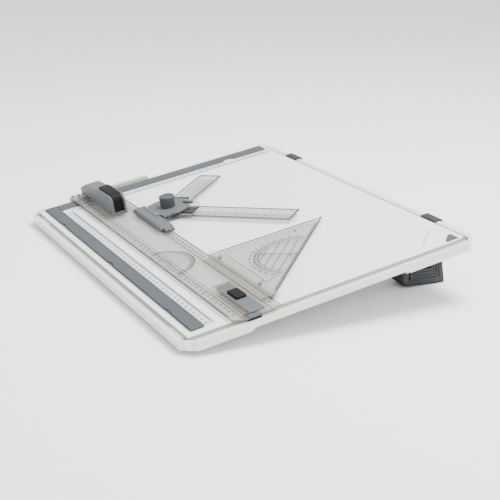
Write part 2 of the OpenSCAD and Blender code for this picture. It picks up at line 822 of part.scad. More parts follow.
module plate_screws() {
    color(steel) place() for (p = plate_holes()) {
        rod(p, 1.15, 7, plate_z + plate_t);
        rod(p, 2.2, plate_z + plate_t, plate_z + plate_t + 0.8);
    }
}

// clear round window over the angle index, against the plate's edge
module index_window() {
    color(clear) place() difference() {
        rod(window_at, 9, plate_z, plate_z + 1.6);
        rod(pivot, plate_r, 0, 20);
    }
}

module index_latch() {
    z0 = plate_z + plate_t + 0.3;
    color(head_grey) place() translate([latch_at[0], latch_at[1], z0]) linear_extrude(2.2) difference() {
        union() {
            circle(r = 3.4);
            rotate(28) translate([0, -2]) square([12, 4]);
        }
        circle(r = 1.05 + run);
    }
}

module latch_pin() {
    z0 = plate_z + plate_t;
    color(steel) place() {
        rod(latch_at, 1.05, plate_z, z0 + 2.8);
        rod(latch_at, 2.2, z0 + 2.8, z0 + 3.4);
    }
}

// outline of an arm that starts at radius r0 and points along +X from the turning axis
module arm_outline(r0, length) {
    translate([r0, -arm_w / 2]) square([length - r0, arm_w]);
}

module on_pivot(turn) {
    translate([pivot[0], pivot[1], 0]) rotate(turn) children();
}

function arm_holes() = [[25, -7], [25, 7], [35, 0]];

module arm_carrier() {
    color(foot_grey) place() translate([0, 0, carrier_z]) linear_extrude(carrier_t) difference() {
        union() {
            translate(pivot) circle(r = 16.9);
            for (a = [0, 90]) on_pivot(head_angle + a) translate([8, -10]) square([32, 20]);
        }
        translate(pivot) circle(r = spindle_r + run);
        for (a = [0, 90], p = arm_holes()) on_pivot(head_angle + a) translate(p) circle(r = 1.3);
    }
}

module arm(length) {
    difference() {
        on_pivot(0) translate([0, 0, arm_z]) linear_extrude(arm_t) arm_outline(19, length);
        for (p = arm_holes()) on_pivot(0) rod(p, 1.3, 0, 20);
    }
}

// turns a piece drawn with its arm along +X to its angle about the turning axis
module turned(angle) {
    translate([pivot[0], pivot[1], 0]) rotate(angle) translate([-pivot[0], -pivot[1], 0]) children();
}

module long_arm() { color(clear) place() turned(head_angle) arm(long_arm_l); }
module short_arm() { color(clear) place() turned(head_angle + 90) arm(short_arm_l); }

module arm_screws() {
    color(steel) place() for (a = [0, 90], p = arm_holes()) on_pivot(head_angle + a) {
        rod(p, 1.25, arm_z, carrier_z + carrier_t - 0.3);
        rod(p, 2.3, arm_z - 0.6, arm_z);
    }
}

module clamp_knob() {
    z0 = plate_z + plate_t + slip;
    top = z0 + knob_h;
    color(head_grey) place() difference() {
        union() {
            translate([pivot[0], pivot[1], z0]) cylinder(r1 = knob_r - 0.8, r2 = knob_r, h = knob_h - 1);
            translate([pivot[0], pivot[1], top - 1]) cylinder(r1 = knob_r, r2 = knob_r - 1, h = 1);
        }
        rod(pivot, spindle_r, z0 - 1, z0 + 9);
        rod(pivot, knob_r - 3, top - 0.6, top + 1);
    }
}

module clamp_spindle() {
    color(steel) place() rod(pivot, spindle_r, arm_z + 0.1, plate_z + plate_t + slip + 8.6);
}

module spindle_washer() {
    color(steel) place() difference() {
        rod(pivot, 7, arm_z, carrier_z - 0.1);
        rod(pivot, spindle_r, 0, 20);
    }
}

// ---- set square ----

module set_square() {
    color(clear) place() difference() {
        translate([0, 0, sq_z]) linear_extrude(sq_t)
            polygon([[sq_x, sq_y], [sq_x + square_l, sq_y], [sq_x, sq_y + square_l]]);
        for (p = square_holes()) rod(p, 1.3, 0, 10);
        // small locating holes
        for (p = [[sq_x + 12, sq_y + 110], [sq_x + 110, sq_y + 12]]) rod(p, 1.5, 0, 10);
    }
}

function square_holes() = [[90, -62], [187.6, -62]];

module square_clip() {
    color(clear) place() difference() {
        along_x(clip_x0, clip_x1) polygon([[-81, blade_top + slip], [-81, 7.4], [-79.4, 7.4], [-78.6, 6.8],
            [-72, 6.8], [-71, 7.4], [-69.6, 7.4], [-68.8, 6.4], [clip_back, 5.6], [clip_back, sq_z + sq_t],
            [sq_y, sq_z + sq_t], [sq_y, sq_z], [clip_back, sq_z], [clip_back, car_low],
            [-78.5, car_low], [-78.5, blade_z - slip], [blade_back + slip, blade_z - slip],
            [blade_back + slip, blade_top + slip]]);
        for (p = square_holes()) rod(p, 1.3, 0, 10);
        // slanted left end
        translate([clip_x0 - 1, -90, 0]) linear_extrude(20)
            polygon([[0, 0], [16, 0], [16, 9.5], [0, 32.1]]);
    }
}

module square_screws() {
    head_z = 6.15;
    color(steel) place() for (p = square_holes()) {
        rod(p, 1.25, car_low + 0.2, head_z);
        rod(p, 2.4, head_z, head_z + 1);
    }
}

board_shell();
rubber_feet();
front_steel_strip();
left_steel_strip();
front_clamp_pins();
left_clamp_pins();
corner_pad();
right_foot_bracket();
left_foot_bracket();
right_foot_pin();
left_foot_pin();
bracket_screws();
front_clamp_bar();
front_clamp_magnet();
front_scale_lip();
left_clamp_bar();
left_clamp_magnet();
left_scale_lip();
right_foot();
left_foot();
right_foot_pad();
left_foot_pad();
ruler_blade();
guide_rail();
rail_screws();
left_head_housing();
left_head_post();
left_head_screws();
left_button();
left_brake_shoe();
left_button_spring();
right_channel();
right_bar();
right_end_block();
groove_runner();
right_head_screws();
right_button();
right_brake_shoe();
right_button_spring();
carriage();
carriage_liner();
head_plate();
plate_pad();
plate_screws();
index_window();
index_latch();
latch_pin();
arm_carrier();
long_arm();
short_arm();
arm_screws();
clamp_knob();
clamp_spindle();
spindle_washer();
set_square();
square_clip();
square_screws();
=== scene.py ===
import json
import math
import bmesh
import bpy
import numpy as np
from mathutils import Euler, Matrix, Vector


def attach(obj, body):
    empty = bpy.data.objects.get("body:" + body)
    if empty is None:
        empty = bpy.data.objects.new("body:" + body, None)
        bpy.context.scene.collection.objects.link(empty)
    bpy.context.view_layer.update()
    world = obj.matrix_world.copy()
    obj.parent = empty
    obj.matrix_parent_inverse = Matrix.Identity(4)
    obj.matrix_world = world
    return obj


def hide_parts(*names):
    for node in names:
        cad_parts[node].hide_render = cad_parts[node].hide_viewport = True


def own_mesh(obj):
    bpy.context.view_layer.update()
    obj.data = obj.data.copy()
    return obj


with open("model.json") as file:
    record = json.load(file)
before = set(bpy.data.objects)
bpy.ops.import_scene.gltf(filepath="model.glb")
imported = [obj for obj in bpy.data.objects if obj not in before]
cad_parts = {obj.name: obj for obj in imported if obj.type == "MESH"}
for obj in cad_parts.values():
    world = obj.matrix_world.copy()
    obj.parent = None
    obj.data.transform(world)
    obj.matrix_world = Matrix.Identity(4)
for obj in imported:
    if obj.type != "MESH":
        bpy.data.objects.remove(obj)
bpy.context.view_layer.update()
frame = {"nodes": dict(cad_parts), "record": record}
nodes = frame["nodes"]
print("frame loaded,", len(nodes), "nodes")

# the board leans back on its feet; flat shapes are worked out on the board in mm and then stood up
stand = dict(tilt=9.5, right=5.0, back=-3.19973, up=44.66592)


def onBoard(p):
    # turned about X by the tilt, then moved: y' = y cos - z sin, z' = y sin + z cos, in metres
    a = math.radians(stand["tilt"])
    p = np.asarray(p, float)
    x = p[..., 0] + stand["right"]
    y = p[..., 1] * math.cos(a) - p[..., 2] * math.sin(a) + stand["back"]
    z = p[..., 1] * math.sin(a) + p[..., 2] * math.cos(a) + stand["up"]
    return np.stack([x, y, z], -1) / 1000


# place in metres, focal length in mm, turns about X, Y and Z in degrees
lens = dict(place=(1.21782, -0.61617, 0.47394), focal=82.26, turns=(71.22822, -0.43030, 62.43376))
cam = bpy.data.objects.new("camera", bpy.data.cameras.new("camera"))
bpy.context.scene.collection.objects.link(cam)
cam.data.sensor_width = 36
cam.data.lens = lens["focal"]
cam.data.clip_start = 0.05
cam.data.dof.use_dof = False
turn = Euler([math.radians(a) for a in lens["turns"]]).to_matrix().to_4x4()
cam.matrix_world = Matrix.Translation(lens["place"]) @ turn
bpy.context.scene.camera = cam

# each lamp's name, place, size and power
studio = dict(sky=(1.0, 1.0, 1.0), skyStrength=1.4,
              lamps=[("top lamp", (0.2, 0.45, 1.7), 1.0, 62.0),
                     ("front lamp", (-0.2, -1.6, 1.1), 0.9, 5.0),
                     ("right lamp", (1.5, 0.7, 0.9), 0.9, 12.0)])
world = bpy.data.worlds.new("studio")
bpy.context.scene.world = world
world.use_nodes = True
world.node_tree.nodes["Background"].inputs["Color"].default_value = (*studio["sky"], 1)
world.node_tree.nodes["Background"].inputs["Strength"].default_value = studio["skyStrength"]
for name, at, size, power in studio["lamps"]:
    lamp = bpy.data.objects.new(name, bpy.data.lights.new(name, "AREA"))
    lamp.data.shape = "DISK"
    lamp.data.size = size
    lamp.data.energy = power
    lamp.location = at
    lamp.rotation_euler = Vector(at).to_track_quat("Z", "Y").to_euler()  # faces the board
    bpy.context.scene.collection.objects.link(lamp)
print("camera and lamps set")


def nodeMaker(mat):
    tree = mat.node_tree

    def make(kind, **values):
        n = tree.nodes.new(kind)
        for key, value in values.items():
            if hasattr(n, key):
                setattr(n, key, value)
            else:
                n.inputs[key.replace("_", " ")].default_value = value
        return n
    return tree, make


def plastic(name, colour, darker, rough, grain=2600, bump=0.12, coat=0.0, cloud=14, specular=0.5):
    # the colour and the gloss drift a little over the piece, and a fine moulded grain stands in the bump
    mat = bpy.data.materials.new(name)
    mat.use_nodes = True
    tree, make = nodeMaker(mat)
    shader = tree.nodes["Principled BSDF"]
    shader.inputs["Coat Weight"].default_value = coat
    shader.inputs["Coat Roughness"].default_value = 0.25
    shader.inputs["Specular IOR Level"].default_value = specular
    where = make("ShaderNodeTexCoord")
    drift = make("ShaderNodeTexNoise", Scale=cloud, Detail=4.0, Roughness=0.55)
    tree.links.new(where.outputs["Object"], drift.inputs["Vector"])
    mix = make("ShaderNodeMix", data_type="RGBA")
    mix.inputs[6].default_value = (*colour, 1)
    mix.inputs[7].default_value = (*darker, 1)
    soft = make("ShaderNodeMapRange")
    soft.inputs["From Min"].default_value = 0.35
    soft.inputs["From Max"].default_value = 0.75
    tree.links.new(drift.outputs["Fac"], soft.inputs["Value"])
    tree.links.new(soft.outputs["Result"], mix.inputs[0])
    tree.links.new(mix.outputs[2], shader.inputs["Base Color"])
    fine = make("ShaderNodeTexNoise", Scale=grain, Detail=2.0)
    tree.links.new(where.outputs["Object"], fine.inputs["Vector"])
    gloss = make("ShaderNodeMapRange")
    gloss.inputs["To Min"].default_value = rough - 0.06
    gloss.inputs["To Max"].default_value = rough + 0.08
    tree.links.new(drift.outputs["Fac"], gloss.inputs["Value"])
    tree.links.new(gloss.outputs["Result"], shader.inputs["Roughness"])
    relief = make("ShaderNodeBump", Strength=bump, Distance=0.0002)
    tree.links.new(fine.outputs["Fac"], relief.inputs["Height"])
    tree.links.new(relief.outputs["Normal"], shader.inputs["Normal"])
    return mat


def clearSheet(name, face, edge, faceAlpha, edgeAlpha, rough=0.12):
    # clear acrylic: a thin tint on the flat faces and more body on the cut edges,
    # told apart by how far the surface turns from the slope of the board
    mat = bpy.data.materials.new(name)
    mat.use_nodes = True
    mat.surface_render_method = "BLENDED"
    tree, make = nodeMaker(mat)
    shader = tree.nodes["Principled BSDF"]
    where = make("ShaderNodeTexCoord")
    lean = make("ShaderNodeVectorMath", operation="DOT_PRODUCT")
    a = math.radians(stand["tilt"])
    lean.inputs[1].default_value = (0, -math.sin(a), math.cos(a))
    tree.links.new(where.outputs["Normal"], lean.inputs[0])
    flat = make("ShaderNodeMath", operation="ABSOLUTE")
    tree.links.new(lean.outputs["Value"], flat.inputs[0])
    side = make("ShaderNodeMapRange")
    side.inputs["From Min"].default_value = 0.97
    side.inputs["From Max"].default_value = 0.6
    tree.links.new(flat.outputs[0], side.inputs["Value"])
    streak = make("ShaderNodeTexNoise", Scale=22.0, Detail=3.0)
    tree.links.new(where.outputs["Object"], streak.inputs["Vector"])
    tint = make("ShaderNodeMix", data_type="RGBA")
    tint.inputs[6].default_value = (*face, 1)
    tint.inputs[7].default_value = (*edge, 1)
    tree.links.new(side.outputs["Result"], tint.inputs[0])
    tree.links.new(tint.outputs[2], shader.inputs["Base Color"])
    body = make("ShaderNodeMapRange")
    body.inputs["To Min"].default_value = faceAlpha
    body.inputs["To Max"].default_value = edgeAlpha
    tree.links.new(side.outputs["Result"], body.inputs["Value"])
    tree.links.new(body.outputs["Result"], shader.inputs["Alpha"])
    gloss = make("ShaderNodeMapRange")
    gloss.inputs["To Min"].default_value = rough - 0.04
    gloss.inputs["To Max"].default_value = rough + 0.08
    tree.links.new(streak.outputs["Fac"], gloss.inputs["Value"])
    tree.links.new(gloss.outputs["Result"], shader.inputs["Roughness"])
    shader.inputs["Specular IOR Level"].default_value = 0.3
    return mat


def brushed(name, colour, rough):
    # steel with fine drawn lines along X
    mat = bpy.data.materials.new(name)
    mat.use_nodes = True
    tree, make = nodeMaker(mat)
    shader = tree.nodes["Principled BSDF"]
    shader.inputs["Metallic"].default_value = 1.0
    where = make("ShaderNodeTexCoord")
    stretch = make("ShaderNodeMapping")
    stretch.inputs["Scale"].default_value = (1, 30, 30)
    tree.links.new(where.outputs["Object"], stretch.inputs["Vector"])
    lines = make("ShaderNodeTexNoise", Scale=120.0, Detail=3.0)
    tree.links.new(stretch.outputs["Vector"], lines.inputs["Vector"])
    ramp = make("ShaderNodeMix", data_type="RGBA")
    ramp.inputs[6].default_value = (*[c * 0.8 for c in colour], 1)
    ramp.inputs[7].default_value = (*colour, 1)
    tree.links.new(lines.outputs["Fac"], ramp.inputs[0])
    tree.links.new(ramp.outputs[2], shader.inputs["Base Color"])
    gloss = make("ShaderNodeMapRange")
    gloss.inputs["To Min"].default_value = rough - 0.08
    gloss.inputs["To Max"].default_value = rough + 0.12
    tree.links.new(lines.outputs["Fac"], gloss.inputs["Value"])
    tree.links.new(gloss.outputs["Result"], shader.inputs["Roughness"])
    return mat


# the colours, of which the groove's is painted shade, and the stretches in mm on the board over which one
# gives way to the next
boardTint = dict(sheet=(0.86, 0.865, 0.88), rim=(0.73, 0.72, 0.695), groove=(0.5, 0.49, 0.46),
                 lug=(0.068, 0.076, 0.083), drift=0.985,
                 rimRight=(247.4, 247.8), rimFront=(-180.4, -180.0), rimBack=(178.4, 178.8),
                 rimLeft=(-250.2, -249.8), cutCorner=(418.5, 419.5), grooveRight=(248.3, 248.6),
                 grooveFront=(-180.5, -180.2), grooveTop=(-0.7, -0.1), grooveFloor=(-5.6, -5.0),
                 lugFoot=(0.12, 0.2))


def boardPlastic(name):
    # the sheet is the whitest; the rim is a touch warmer, the groove's walls and floor are darkened with
    # painted shade and the clamp lugs are grey
    t = boardTint
    mat = plastic(name, t["sheet"], [c * t["drift"] for c in t["sheet"]], 0.3, coat=0.2, cloud=5)
    tree, make = nodeMaker(mat)
    shader = tree.nodes["Principled BSDF"]
    white = shader.inputs["Base Color"].links[0].from_socket
    where = make("ShaderNodeTexCoord")

    def distance(direction):
        # a point's place in mm along a direction of the board, from the board's own origin
        dot = make("ShaderNodeVectorMath", operation="DOT_PRODUCT")
        dot.inputs[1].default_value = [1000 * v for v in direction]
        tree.links.new(where.outputs["Object"], dot.inputs[0])
        place = make("ShaderNodeMath", operation="SUBTRACT")
        place.inputs[1].default_value = float(np.dot(direction, (stand["right"], stand["back"], stand["up"])))
        tree.links.new(dot.outputs["Value"], place.inputs[0])
        return place.outputs[0]

    def ramp(value, low, high):
        # 0 below low, 1 above high, smooth between
        step = make("ShaderNodeMapRange", interpolation_type="SMOOTHSTEP")
        step.inputs["From Min"].default_value = low
        step.inputs["From Max"].default_value = high
        tree.links.new(value, step.inputs["Value"])
        return step.outputs["Result"]

    def flipped(value):
        less = make("ShaderNodeMath", operation="SUBTRACT")
        less.inputs[0].default_value = 1.0
        tree.links.new(value, less.inputs[1])
        return less.outputs[0]

    def combine(kind, first, *others):
        for other in others:
            both = make("ShaderNodeMath", operation=kind)
            tree.links.new(first, both.inputs[0])
            tree.links.new(other, both.inputs[1])
            first = both.outputs[0]
        return first

    def blendTo(below, colour, mask):
        mix = make("ShaderNodeMix", data_type="RGBA")
        mix.inputs[7].default_value = (*colour, 1)
        tree.links.new(below, mix.inputs[6])
        tree.links.new(mask, mix.inputs[0])
        return mix.outputs[2]

    a = math.radians(stand["tilt"])
    x = distance((1, 0, 0))
    y = distance((0, math.cos(a), math.sin(a)))
    z = distance((0, -math.sin(a), math.cos(a)))
    away = make("ShaderNodeMath", operation="ABSOLUTE")
    tree.links.new(y, away.inputs[0])
    corner = combine("ADD", x, away.outputs[0])  # x + |y| tells the cut corners
    rim = combine("MAXIMUM", ramp(x, *t["rimRight"]), flipped(ramp(y, *t["rimFront"])),
                  ramp(y, *t["rimBack"]), flipped(ramp(x, *t["rimLeft"])))
    # painted shade: this mask covers the groove's walls and floor inside the rim, which are blended to a
    # darker grey
    grooveShadeMask = combine("MULTIPLY", flipped(ramp(corner, *t["cutCorner"])), flipped(ramp(x, *t["grooveRight"])),
                     ramp(y, *t["grooveFront"]), flipped(ramp(z, *t["grooveTop"])),
                     ramp(z, *t["grooveFloor"]))
    colour = blendTo(white, t["rim"], rim)
    colour = blendTo(colour, t["groove"], grooveShadeMask)
    colour = blendTo(colour, t["lug"], ramp(z, *t["lugFoot"]))
    tree.links.new(colour, shader.inputs["Base Color"])
    return mat


finish = {
    "white_plastic": boardPlastic("white board plastic"),
    "clamp_grey": plastic("blue grey clamp plastic", (0.076, 0.084, 0.092), (0.062, 0.07, 0.077), 0.55,
                          grain=1800, bump=0.3, specular=0.16),
    "head_grey": plastic("mid grey head plastic", (0.108, 0.116, 0.122), (0.088, 0.096, 0.102), 0.5,
                         grain=1800, bump=0.25, specular=0.22),
    "dark_grey": plastic("dark foot plastic", (0.035, 0.038, 0.042), (0.026, 0.029, 0.032), 0.5,
                         grain=1500, bump=0.35, specular=0.2),
    "black_plastic": plastic("black button plastic", (0.008, 0.006, 0.007), (0.005, 0.004, 0.005), 0.5,
                             grain=1500, bump=0.3, specular=0.12),
    "rubber": plastic("black rubber", (0.02, 0.02, 0.021), (0.03, 0.03, 0.031), 0.75,
                      grain=900, bump=0.4, specular=0.25),
    "steel": brushed("drawn steel", (0.42, 0.43, 0.45), 0.42),
    "clear_plastic": clearSheet("clear acrylic", (0.37, 0.35, 0.31), (0.14, 0.135, 0.125), 0.3, 0.72),
    "frosted_plastic": clearSheet("frosted acrylic", (0.6, 0.6, 0.58), (0.42, 0.42, 0.4), 0.6, 0.75,
                                  rough=0.35),
}
clearLip = clearSheet("clear lip acrylic", (0.56, 0.6, 0.66), (0.3, 0.32, 0.35), 0.14, 0.5)
clearClip = clearSheet("clear clip acrylic", (0.6, 0.58, 0.53), (0.25, 0.24, 0.22), 0.12, 0.42)
knobGrey = plastic("knob plastic", (0.05, 0.053, 0.057), (0.04, 0.043, 0.046), 0.42,
                   grain=1500, bump=0.3, specular=0.3)
inkPrint = plastic("dark scale ink", (0.012, 0.01, 0.009), (0.02, 0.018, 0.016), 0.6,
                   grain=3000, bump=0.05, specular=0.05)
inkBlue = plastic("blue grey scale ink", (0.10, 0.125, 0.18), (0.13, 0.155, 0.21), 0.6,
                  grain=3000, bump=0.05, specular=0.05)

slotOf = {s["node"]: s["material_slot"] for s in frame["record"]["subparts"]}
ownFinish = dict(front_scale_lip=clearLip, left_scale_lip=clearLip, clamp_knob=knobGrey,
                 square_clip=clearClip, right_channel=clearClip, index_window=clearClip)
for name, piece in nodes.items():
    piece.data.materials.clear()
    piece.data.materials.append(ownFinish.get(name, finish[slotOf[name]]))
print("finishes laid on the nodes")

# how much of each sharp edge is rounded off, in metres, and in how many steps
softEdges = dict(board_shell=(0.0007, 3), front_clamp_bar=(0.0002, 2), left_clamp_bar=(0.0002, 2),
                 corner_pad=(0.0003, 2), left_head_housing=(0.0007, 3), left_button=(0.0006, 3),
                 right_button=(0.0006, 3), right_bar=(0.0003, 2), carriage=(0.0005, 3),
                 head_plate=(0.0004, 2), clamp_knob=(0.0005, 3), right_foot=(0.0006, 2),
                 left_foot=(0.0006, 2), right_end_block=(0.0004, 2), index_latch=(0.0003, 2))
# points nearer than join, in metres, are one; faces that meet at less than flat degrees are joined and
# those at less than smooth are shaded as one, and edges past sharp degrees are rounded
moulding = dict(join=2e-6, flat=0.5, smooth=25, sharp=28)
bodyOf = {n: body for body, members in frame["record"]["behaviour"]["bodies"].items() for n in members}


def softened(name, width, steps):
    # the node's loose triangles joined into flat faces, then every sharp edge rounded over its width
    piece = nodes[name].copy()
    piece.data = nodes[name].data.copy()
    piece.name = name + "_moulded"
    for key in list(piece.keys()):
        del piece[key]
    piece.parent = None
    bpy.context.scene.collection.objects.link(piece)
    bm = bmesh.new()
    bm.from_mesh(piece.data)
    bmesh.ops.remove_doubles(bm, verts=bm.verts, dist=moulding["join"])
    bmesh.ops.dissolve_limit(bm, angle_limit=math.radians(moulding["flat"]), verts=bm.verts, edges=bm.edges)
    for f in bm.faces:
        f.smooth = True
    for e in bm.edges:
        e.smooth = e.is_manifold and e.calc_face_angle(0) < math.radians(moulding["smooth"])
    bm.to_mesh(piece.data)
    bm.free()
    if "custom_normal" in piece.data.attributes:
        piece.data.attributes.remove(piece.data.attributes["custom_normal"])
    bevel = piece.modifiers.new("rounding", "BEVEL")
    bevel.width = width
    bevel.segments = steps
    bevel.limit_method = "ANGLE"
    bevel.angle_limit = math.radians(moulding["sharp"])
    bevel.use_clamp_overlap = True
    bevel.miter_outer = "MITER_ARC"
    bevel.harden_normals = True
    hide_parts(name)
    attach(piece, bodyOf[name])


for name, (width, steps) in softEdges.items():
    softened(name, width, steps)
print("moulded parts rounded:", len(softEdges))


def meshPiece(name, verts, faces, body, mat, smooth=False):
    mesh = bpy.data.meshes.new(name)
    mesh.vertices.add(len(verts))
    mesh.vertices.foreach_set("co", np.asarray(verts, np.float32).ravel())
    mesh.loops.add(faces.size)
    mesh.loops.foreach_set("vertex_index", faces.ravel().astype(np.int32))
    mesh.polygons.add(len(faces))
    mesh.polygons.foreach_set("loop_start", np.arange(0, faces.size, faces.shape[1], dtype=np.int32))
    mesh.polygons.foreach_set("loop_total", np.full(len(faces), faces.shape[1], dtype=np.int32))
    mesh.update(calc_edges=True)
    mesh.polygons.foreach_set("use_smooth", np.full(len(faces), smooth))
    mesh.materials.append(mat)
    piece = bpy.data.objects.new(name, mesh)
    bpy.context.scene.collection.objects.link(piece)
    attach(piece, body)
    return piece


inkLayer = dict(under=0.005, over=0.03)  # mm above the surface


def linesToMesh(name, segs, body, ink):
    # each line is a flat bar: its two ends are set off sideways by half its width,
    # once at the surface and once just above it
    s = np.asarray(segs, float)  # x0 y0 x1 y1 width z0 z1
    along = s[:, 2:4] - s[:, 0:2]
    along /= np.maximum(np.linalg.norm(along, axis=1, keepdims=True), 1e-9)
    off = np.stack([-along[:, 1], along[:, 0]], 1) * s[:, 4:5] / 2
    corners = np.stack([s[:, 0:2] - off, s[:, 2:4] - off, s[:, 2:4] + off, s[:, 0:2] + off], 1)
    base = np.stack([s[:, 5], s[:, 6], s[:, 6], s[:, 5]], 1)[..., None]
    low = np.concatenate([corners, base + inkLayer["under"]], 2)
    high = np.concatenate([corners, base + inkLayer["over"]], 2)
    verts = onBoard(np.concatenate([low, high], 1).reshape(-1, 3))
    box = np.array([[0, 3, 2, 1], [4, 5, 6, 7], [0, 1, 5, 4], [1, 2, 6, 5], [2, 3, 7, 6], [3, 0, 4, 7]])
    faces = (box[None] + 8 * np.arange(len(s))[:, None, None]).reshape(-1, 4)
    meshPiece(name, verts, faces, body, ink)


# the points that each figure is drawn through, in a box one high; wide is the box's width, pitch the step
# from one figure to the next, and line the printed line's width in mm
strokes = {"0": [(.1, 0), (.5, 0), (.6, .2), (.6, .8), (.5, 1), (.1, 1), (0, .8), (0, .2), (.1, 0)],
           "1": [(.3, 0), (.3, 1), (.1, .8)],
           "2": [(0, .8), (.1, 1), (.5, 1), (.6, .7), (0, 0), (.6, 0)],
           "3": [(0, 1), (.6, 1), (.3, .6), (.6, .4), (.5, 0), (0, .05)],
           "4": [(.5, 0), (.5, 1), (0, .3), (.6, .3)],
           "5": [(.6, 1), (.05, 1), (0, .55), (.5, .6), (.6, .3), (.4, 0), (0, .05)],
           "6": [(.5, 1), (.1, .7), (0, .3), (.2, 0), (.5, 0), (.6, .3), (.4, .55), (0, .4)],
           "7": [(0, 1), (.6, 1), (.2, 0)],
           "8": [(.1, .5), (0, .8), (.2, 1), (.5, .9), (.5, .6), (.1, .5), (0, .2), (.2, 0), (.6, .1),
                 (.5, .5), (.5, .6)],
           "9": [(.1, 0), (.5, .3), (.6, .7), (.4, 1), (.1, 1), (0, .7), (.2, .45), (.6, .6)]}
figure = dict(wide=0.6, pitch=0.85, line=0.6)


def placed(segs, x, y, angle):
    # turned about the origin, then moved to x, y
    c, s = math.cos(math.radians(angle)), math.sin(math.radians(angle))
    out = segs.copy()
    for k in (0, 2):
        out[:, k] = x + segs[:, k] * c - segs[:, k + 1] * s
        out[:, k + 1] = y + segs[:, k] * s + segs[:, k + 1] * c
    return out


def number(value, x, y, high, angle=0.0):
    # the figures' strokes, scaled to the height, set side by side about their middle and turned
    word = str(value)
    total = high * (figure["pitch"] * (len(word) - 1) + figure["wide"])
    rows = []
    for i, digit in enumerate(word):
        shift = figure["pitch"] * i
        for (a, b), (c, d) in zip(strokes[digit], strokes[digit][1:]):
            rows.append((a + shift, b, c + shift, d))
    r = np.array(rows) * high
    r[:, [0, 2]] -= total / 2
    r[:, [1, 3]] -= high / 2
    return placed(np.hstack([r, np.full((len(r), 1), figure["line"])]), x, y, angle)


tick = dict(short=1.9, fifth=2.9, tenth=4.2, width=0.55)


def tickLength(i):
    return np.where(i % 10 == 0, tick["tenth"], np.where(i % 5 == 0, tick["fifth"], tick["short"]))


def scaleTicks(start, count, edge, side):
    # one tick a millimetre from the edge inward, longer at every fifth and tenth
    i = np.arange(count + 1)
    x = start + i
    foot, width = np.full(len(i), edge), np.full(len(i), tick["width"])
    return np.stack([x, foot, x, edge + side * tickLength(i), width], 1).astype(float)


def upright(segs):
    # a row of ticks along X laid along Y instead
    return segs[:, [1, 0, 3, 2, 4]]


def line(x0, y0, x1, y1, width):
    return np.array([[x0, y0, x1, y1, width]], float)


def arc(x, y, r, a0, a1, steps, width):
    # straight pieces between points on the circle
    a = np.radians(np.linspace(a0, a1, steps + 1))
    px, py = x + r * np.cos(a), y + r * np.sin(a)
    return np.stack([px[:-1], py[:-1], px[1:], py[1:], np.full(steps, width)], 1)


def rays(x, y, r0, r1, angles, width):
    a = np.radians(np.asarray(angles, float))
    return np.stack([x + r0 * np.cos(a), y + r0 * np.sin(a), x + r1 * np.cos(a), y + r1 * np.sin(a),
                     np.full(len(a), width)], 1)


def atHeight(segs, top):
    return np.hstack([segs, np.full((len(segs), 2), top)])


# lines are (y, width); slope gives the blade's top at each y, which falls towards both edges
rulerPrint = dict(left=-238, marks=470, ticks=(-124.6, -68.4), ends=(-255, 247),
                  lines=[(-124.6, 0.8), (-114, 1.0), (-110, 0.7), (-80, 1.0), (-68.5, 0.9)],
                  figures=(-117.6, -74.9), tall=2.6, slope=[(-125, 3.8), (-113, 4.6), (-79, 4.6), (-68, 3.8)],
                  middle=(57.0, -124.0), outer=40.0, band=5.0, inner=12.0)


def printRuler():
    r = rulerPrint
    front, back = r["ticks"]
    parts = [scaleTicks(r["left"], r["marks"], front, 1), scaleTicks(r["left"], r["marks"], back, -1)]
    for y, width in r["lines"]:
        parts.append(line(r["ends"][0], y, r["ends"][1], y, width))
    for i in range(0, r["marks"] // 10 + 1):
        for y in r["figures"]:
            parts.append(number(i, r["left"] + 10 * i, y, r["tall"]))
    # a half circle of two arcs with degree marks between them, a small arc, and rays from one to the other
    (x, y), outer, inner = r["middle"], r["outer"], r["inner"]
    parts += [arc(x, y, outer, 4, 176, 60, 0.9), arc(x, y, outer - r["band"], 6, 174, 60, 0.6),
              arc(x, y, inner, 10, 170, 24, 0.6), rays(x, y, outer - 4, outer, np.arange(10, 171, 2), 0.5),
              rays(x, y, inner, outer - r["band"], np.arange(20, 161, 20), 0.45)]
    segs = np.vstack(parts)
    at, top = np.transpose(r["slope"])
    tops = np.stack([np.interp(segs[:, 1], at, top), np.interp(segs[:, 3], at, top)], 1)
    linesToMesh("ruler_print", np.hstack([segs, tops]), "ruler", inkPrint)


printRuler()

# half is half an arm's width; the scale starts at root, the long lines at start; inset and figures
# are measured in from each edge, middle from the line down the arm's middle, end from its far end
armPrint = dict(pivot=(-99.0, -43.5), angle=38.0, top=6.4, half=16.0, root=42, start=20, inset=0.4,
                middle=6.5, figures=7.2, tall=2.6, end=0.5)


def printArm(name, length, extra):
    a = armPrint
    marks = int(length - a["root"] - 2)
    edge, end = a["half"] - a["inset"], length - a["end"]
    parts = [scaleTicks(a["root"], marks, edge, -1), scaleTicks(a["root"], marks, -edge, 1)]
    for y, width in ((edge, 1.0), (-edge, 1.0), (a["middle"], 0.5), (-a["middle"], 0.5)):
        parts.append(line(a["start"], y, end, y, width))
    parts.append(line(end, -a["half"], end, a["half"], 1.9))
    for i in range(0, marks // 10 + 1):
        for y in (a["half"] - a["figures"], a["figures"] - a["half"]):
            parts.append(number(i, a["root"] + 10 * i, y, a["tall"]))
    segs = placed(np.vstack(parts), *a["pivot"], a["angle"] + extra)
    linesToMesh(name, atHeight(segs, a["top"]), "head_rotor", inkPrint)


printArm("long_arm_print", 178, 0)
printArm("short_arm_print", 125, 90)

# the left side's line and scale stand inset from it, and the scale has tickCount marks from tickStart;
# the long side's scale runs halfScale both ways
squarePrint = dict(corner=(69.0, -66.7), side=155.5, top=4.0, inset=0.6, tickStart=12, tickCount=130,
                   halfScale=90, radius=50.0, band=5.0, hub=8.0, chord=44.0, pointer=46.0,
                   figures=55.0, tall=2.3)


